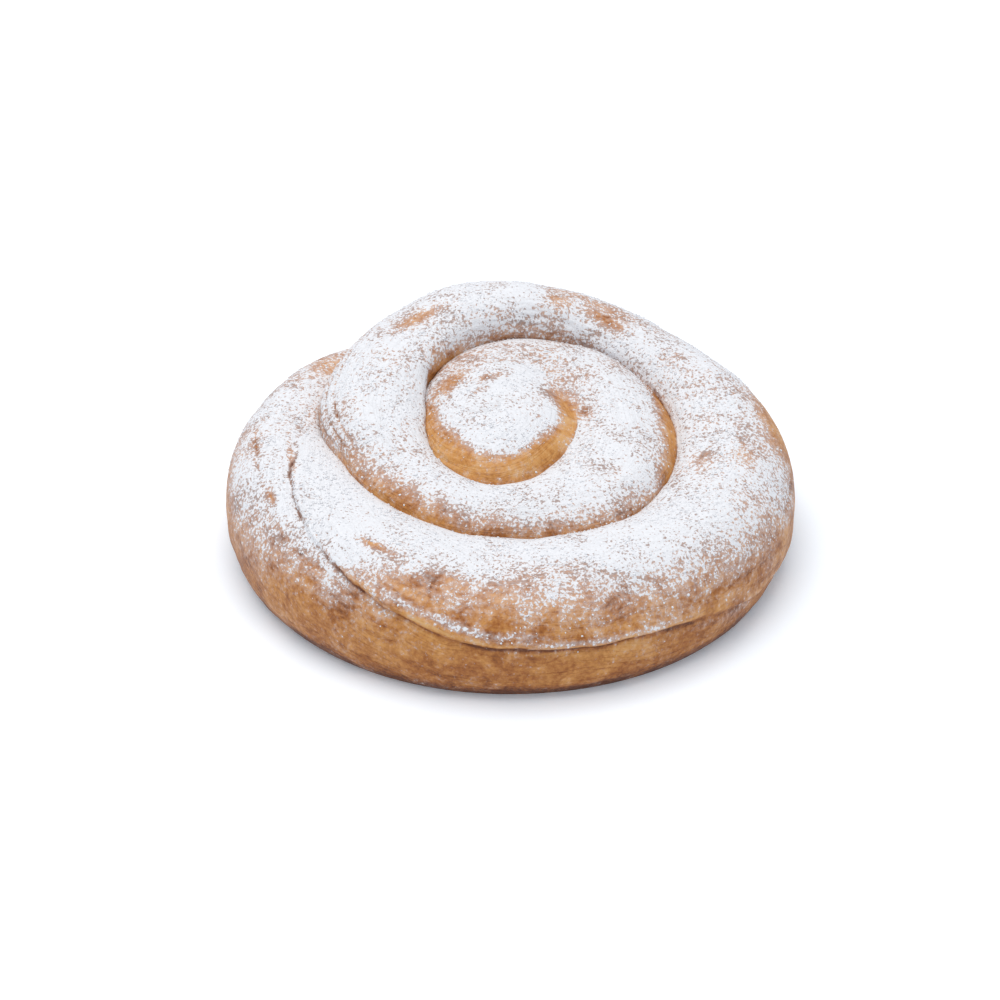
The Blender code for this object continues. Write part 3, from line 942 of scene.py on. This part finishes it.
def crust_material(crust, sugar):
    """Baked layered dough under a film of icing sugar. The film covers the crust where the amount
    of sugar, broken by patches and two sizes of grain, is over a threshold. It is thin where it is
    less full, and past its edge a veil of dust lightens the crust."""
    material, tree, shader = fresh_material("sugared_crust", crust.roughness)
    place = put(tree, "ShaderNodeTexCoord").outputs["Object"]
    rope = put(tree, "ShaderNodeAttribute", attribute_name="rope").outputs["Vector"]
    amount = put(tree, "ShaderNodeAttribute", attribute_name="sugar").outputs["Fac"]
    # Browning, with painted shade in the grooves, crack, folds and pit and painted highlight on the
    # lip
    baked = put(tree, "ShaderNodeAttribute", attribute_name="baked").outputs["Fac"]

    layers = streak_group()
    streak, broad = (
        put(tree, "ShaderNodeGroup", {**size, "Vector": rope}, node_tree=layers).outputs[0]
        for size in (STREAKS, BROAD_STREAKS)
    )
    patterns = {
        name: centred(tree, noise_of(tree, place, *numbers)) for name, numbers in NOISES.items()
    }
    patterns.update(streak=streak, sugar=amount)
    patterns["edge_line"] = layer_line(tree, broad, EDGE_LINE_WIDTH)

    # The tone darkens with the amount of sugar: painted shade where the crust shows in the film's
    # pits
    tone = maths(tree, "ADD", weighed(tree, baked, patterns, TONE_WEIGHTS), TONE_SHIFT)
    colours = (crust.pale_colour, crust.golden_colour, crust.brown_colour, crust.dark_colour)
    crumb = ramp(tree, tone, list(zip(TONE_STOPS, colours)))
    film = stepped(tree, weighed(tree, amount, patterns, COVER_WEIGHTS), FILM_LIMITS)
    veil = stepped(tree, weighed(tree, amount, patterns, DUST_WEIGHTS), VEIL_LIMITS, MOST_VEIL)
    thin = stepped(tree, weighed(tree, amount, patterns, FULLNESS_WEIGHTS), THIN_LIMITS, MOST_THIN)
    white, patterns["powder"] = white_powder(tree, place, sugar)
    patterns["film"] = film
    veiled = mixed(tree, veil, crumb, sugar.veil_colour)
    under_film = mixed(tree, VEIL_UNDER_FILM, crumb, sugar.veil_colour)
    dusted = mixed(tree, thin, white, under_film)
    fill(tree, shader.inputs["Base Color"], mixed(tree, film, veiled, dusted))
    roughness = stepped(tree, film, (0.0, 1.0), SUGAR_ROUGHNESS, crust.roughness)
    fill(tree, shader.inputs["Roughness"], roughness)

    height = weighed(tree, streak, patterns, BUMP_WEIGHTS)
    bump = {"Strength": 0.5, "Distance": 0.35 * MM, "Height": height}
    fill(tree, shader.inputs["Normal"], put(tree, "ShaderNodeBump", bump).outputs[0])
    return material


def clump_material(sugar):
    """Dry white powder: nearly white, pitted by its own grain, with painted shade in its pits."""
    material, tree, shader = fresh_material("sugar_clump", SUGAR_ROUGHNESS)
    place = put(tree, "ShaderNodeTexCoord").outputs["Object"]
    white, height = white_powder(tree, place, sugar)
    fill(tree, shader.inputs["Base Color"], white)
    bump = {"Strength": 0.4, "Distance": 0.1 * MM, "Height": height}
    fill(tree, shader.inputs["Normal"], put(tree, "ShaderNodeBump", bump).outputs[0])
    return material


# Settings

class CrustSettings(bpy.types.PropertyGroup):
    """Sizes and colours of the dough."""

    rows_per_turn: IntProperty(
        name="Rows per turn", description="Rows of the crust's grid round one turn of the rope",
        default=360, min=24, max=400)
    columns: IntProperty(
        name="Columns", description="Columns of the crust's grid across the rope",
        default=68, min=12, max=80)
    lobe_height: FloatProperty(
        name="Lobe height", description="How far the rope's broad swellings stand out",
        default=0.0005, unit="LENGTH", precision=5)
    seam_lip: FloatProperty(
        name="Seam lip", description="How far the free edge of the dough sheet stands out",
        default=0.0005, unit="LENGTH", precision=5)
    seam_depth: FloatProperty(
        name="Seam depth", description="Depth of the hollow below the free edge",
        default=0.0009, unit="LENGTH", precision=5)
    layer_height: FloatProperty(
        name="Layer height", description="Height of the layers' thin edges on the flanks",
        default=0.00035, unit="LENGTH", precision=5)
    crease_depth: FloatProperty(
        name="Crease depth", description="Depth of the narrow folds between layers",
        default=0.00028, unit="LENGTH", precision=5)
    pit_depth: FloatProperty(
        name="Pit depth", description="Depth of the small pit at the end of the dimple",
        default=0.0008, unit="LENGTH", precision=5)
    ripple_height: FloatProperty(
        name="Ripple height", description="Height of the wrinkles on the front shoulder",
        default=0.0004, unit="LENGTH", precision=5)
    blister_height: FloatProperty(
        name="Blister height", description="Height of the crust's uneven lumps",
        default=0.00035, unit="LENGTH", precision=5)
    film_thickness: FloatProperty(
        name="Film thickness", description="Thickness of the sugar film where it is fullest",
        default=0.00022, unit="LENGTH", precision=5)
    roughness: FloatProperty(
        name="Roughness", description="Roughness of bare crust", default=0.5, min=0.0, max=1.0)
    pale_colour: FloatVectorProperty(
        name="Pale crust", description="Crust that baked least", subtype="COLOR",
        default=linear(214, 166, 108))
    golden_colour: FloatVectorProperty(
        name="Golden crust", description="Crust on the crests and upper flanks", subtype="COLOR",
        default=linear(200, 139, 74))
    brown_colour: FloatVectorProperty(
        name="Brown crust", description="Crust on the lower flanks", subtype="COLOR",
        default=linear(160, 96, 42))
    # The ramp's darkest end: browning by the tray, and painted shade in the grooves, crack, folds
    # and pit
    dark_colour: FloatVectorProperty(
        name="Dark crust", description="Crust that baked most, by the tray and in the grooves",
        subtype="COLOR", default=linear(100, 50, 18))


class SugarSettings(bpy.types.PropertyGroup):
    """Sizes and colours of the icing sugar."""

    colour: FloatVectorProperty(
        name="Sugar", description="Icing sugar", subtype="COLOR", default=linear(232, 231, 234))
    veil_colour: FloatVectorProperty(
        name="Veil", description="Crust seen through a thin dusting", subtype="COLOR",
        default=linear(228, 200, 186))
    grain_size: FloatProperty(
        name="Grain size", description="Size of the powder's grain", default=0.0006,
        unit="LENGTH", precision=5)
    clump_count: IntProperty(
        name="Clumps", description="Number of small clumps on the crust", default=7000,
        min=1, max=9500)
    clump_size: FloatProperty(
        name="Clump size", description="Usual radius of a clump", default=0.00016,
        unit="LENGTH", precision=5)


class StageSettings(bpy.types.PropertyGroup):
    """Camera, light and floor."""

    elevation: FloatProperty(
        name="Camera elevation", description="Angle of the camera above the horizon",
        default=np.radians(33.6), unit="ROTATION")
    distance: FloatProperty(
        name="Camera distance", description="From the camera to the point it looks at",
        default=0.70, unit="LENGTH")
    view_width: FloatProperty(
        name="View width", description="Width of what the picture shows at the object",
        default=1000 / 4913, unit="LENGTH")
    target: FloatVectorProperty(
        name="Target", description="Point that the camera looks at", size=3, unit="LENGTH",
        default=(-0.0021, 0.0072, 0.0053))
    floor_colour: FloatVectorProperty(
        name="Floor", description="Colour of the floor", subtype="COLOR",
        default=(0.91, 0.95, 1.0))
    floor_glow: FloatProperty(
        name="Floor glow", description="Strength of the floor's own light", default=0.12)
    sky_strength: FloatProperty(
        name="Sky strength", description="Strength of the even light from all round", default=0.66)
    lamp_power: FloatProperty(
        name="Lamp power", description="Power of the broad lamp overhead, in watts", default=7.6)


# Operators

class ENSAIMADA_OT_crust(bpy.types.Operator):
    """Make the coiled crust, which stands for the plain solid of dough"""

    bl_idname = "ensaimada.crust"
    bl_label = "Crust"

    def execute(self, context):
        settings, sugar = context.scene.ensaimada_crust, context.scene.ensaimada_sugar
        strip = crust_strip(settings)
        piece = dress_crust(strip, "crust")
        piece.data.materials.append(crust_material(settings, sugar))
        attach(piece, BODY)
        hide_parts(CAD_NODE)
        return {"FINISHED"}


class ENSAIMADA_OT_sugar_clumps(bpy.types.Operator):
    """Scatter small clumps of icing sugar on the crust, most where the sugar lies thick"""

    bl_idname = "ensaimada.sugar_clumps"
    bl_label = "Sugar clumps"

    def execute(self, context):
        settings, sugar = context.scene.ensaimada_crust, context.scene.ensaimada_sugar
        generator = np.random.default_rng(17)
        strip = crust_strip(settings)
        clusters = smooth_step(0.5 + 0.9 * lumps(strip.points, 5 * MM, 81))
        level = smooth_step((strip.normal[..., 2] - 0.15) / 0.4)
        weight = (STRAY_CLUMPS + strip.sugar**2 * clusters) * level
        places, normals = scattered(strip, weight, sugar.clump_count, generator)
        sizes = sugar.clump_size * generator.lognormal(0.0, CLUMP_SPREAD, sugar.clump_count)
        sizes = np.minimum(sizes, LARGEST_CLUMP * sugar.clump_size)
        piece = clump_mesh("sugar_clumps", places, normals, sizes, generator)
        piece.data.materials.append(clump_material(sugar))
        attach(piece, BODY)
        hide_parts(CAD_NODE)
        return {"FINISHED"}


def aimed(name, data, place, target):
    """An object in the scene with this camera or lamp at the place, facing the target."""
    piece = bpy.data.objects.new(name, data)
    piece.location = place
    piece.rotation_euler = (Vector(target) - Vector(place)).to_track_quat("-Z", "Y").to_euler()
    bpy.context.scene.collection.objects.link(piece)
    return piece


class ENSAIMADA_OT_stage(bpy.types.Operator):
    """Set the camera, the soft light and the pale floor"""

    bl_idname = "ensaimada.stage"
    bl_label = "Stage"

    def execute(self, context):
        settings, scene = context.scene.ensaimada_stage, context.scene
        target = Vector(settings.target)
        away = Vector((0.0, -np.cos(settings.elevation), np.sin(settings.elevation)))
        data = bpy.data.cameras.new("camera")
        data.sensor_width = SENSOR_WIDTH
        data.lens = SENSOR_WIDTH * settings.distance / settings.view_width
        data.clip_start, data.clip_end = 0.01, 20.0
        scene.camera = aimed("camera", data, target + away * settings.distance, target)

        corners = [(x * FLOOR_HALF, y * FLOOR_HALF, 0.0) for x, y in
                   ((-1, -1), (1, -1), (1, 1), (-1, 1))]
        floor = new_piece("floor", corners, [(0, 1, 2, 3)], smooth=False)
        material, tree, shader = fresh_material("floor", 0.9)
        fill(tree, shader.inputs["Base Color"], settings.floor_colour)
        fill(tree, shader.inputs["Emission Color"], settings.floor_colour)
        fill(tree, shader.inputs["Emission Strength"], settings.floor_glow)
        floor.data.materials.append(material)

        scene.world = bpy.data.worlds.new("sky")
        scene.world.use_nodes = True
        sky = scene.world.node_tree.nodes["Background"].inputs
        sky["Color"].default_value = SKY_COLOUR
        sky["Strength"].default_value = settings.sky_strength
        data = bpy.data.lights.new("top_lamp", "AREA")
        data.shape, data.size = "SQUARE", LAMP_SIZE
        data.energy, data.color = settings.lamp_power, LAMP_COLOUR
        aimed("top_lamp", data, LAMP_PLACE, target)
        scene.view_settings.view_transform = "Standard"
        return {"FINISHED"}


class ENSAIMADA_PT_panel(bpy.types.Panel):
    """The pastry's operators and settings in the 3D view's sidebar"""

    bl_label = "Ensaimada"
    bl_idname = "ENSAIMADA_PT_panel"
    bl_space_type = "VIEW_3D"
    bl_region_type = "UI"
    bl_category = "Ensaimada"

    def draw(self, context):
        for operator in OPERATORS:
            self.layout.operator(operator.bl_idname)
        for name in SETTINGS:
            settings = getattr(context.scene, name)
            box = self.layout.box()
            for label in settings.bl_rna.properties.keys():
                if label not in ("rna_type", "name"):
                    box.prop(settings, label)


SETTINGS = {
    "ensaimada_crust": CrustSettings,
    "ensaimada_sugar": SugarSettings,
    "ensaimada_stage": StageSettings,
}
OPERATORS = (ENSAIMADA_OT_stage, ENSAIMADA_OT_crust, ENSAIMADA_OT_sugar_clumps)
CLASSES = (*SETTINGS.values(), *OPERATORS, ENSAIMADA_PT_panel)


def register():
    for cls in CLASSES:
        bpy.utils.register_class(cls)
    for name, cls in SETTINGS.items():
        setattr(bpy.types.Scene, name, PointerProperty(type=cls))


def unregister():
    for name in SETTINGS:
        delattr(bpy.types.Scene, name)
    for cls in reversed(CLASSES):
        bpy.utils.unregister_class(cls)


def main():
    register()
    bpy.ops.ensaimada.stage()
    bpy.ops.ensaimada.crust()
    bpy.ops.ensaimada.sugar_clumps()


if __name__ == "__main__":
    main()
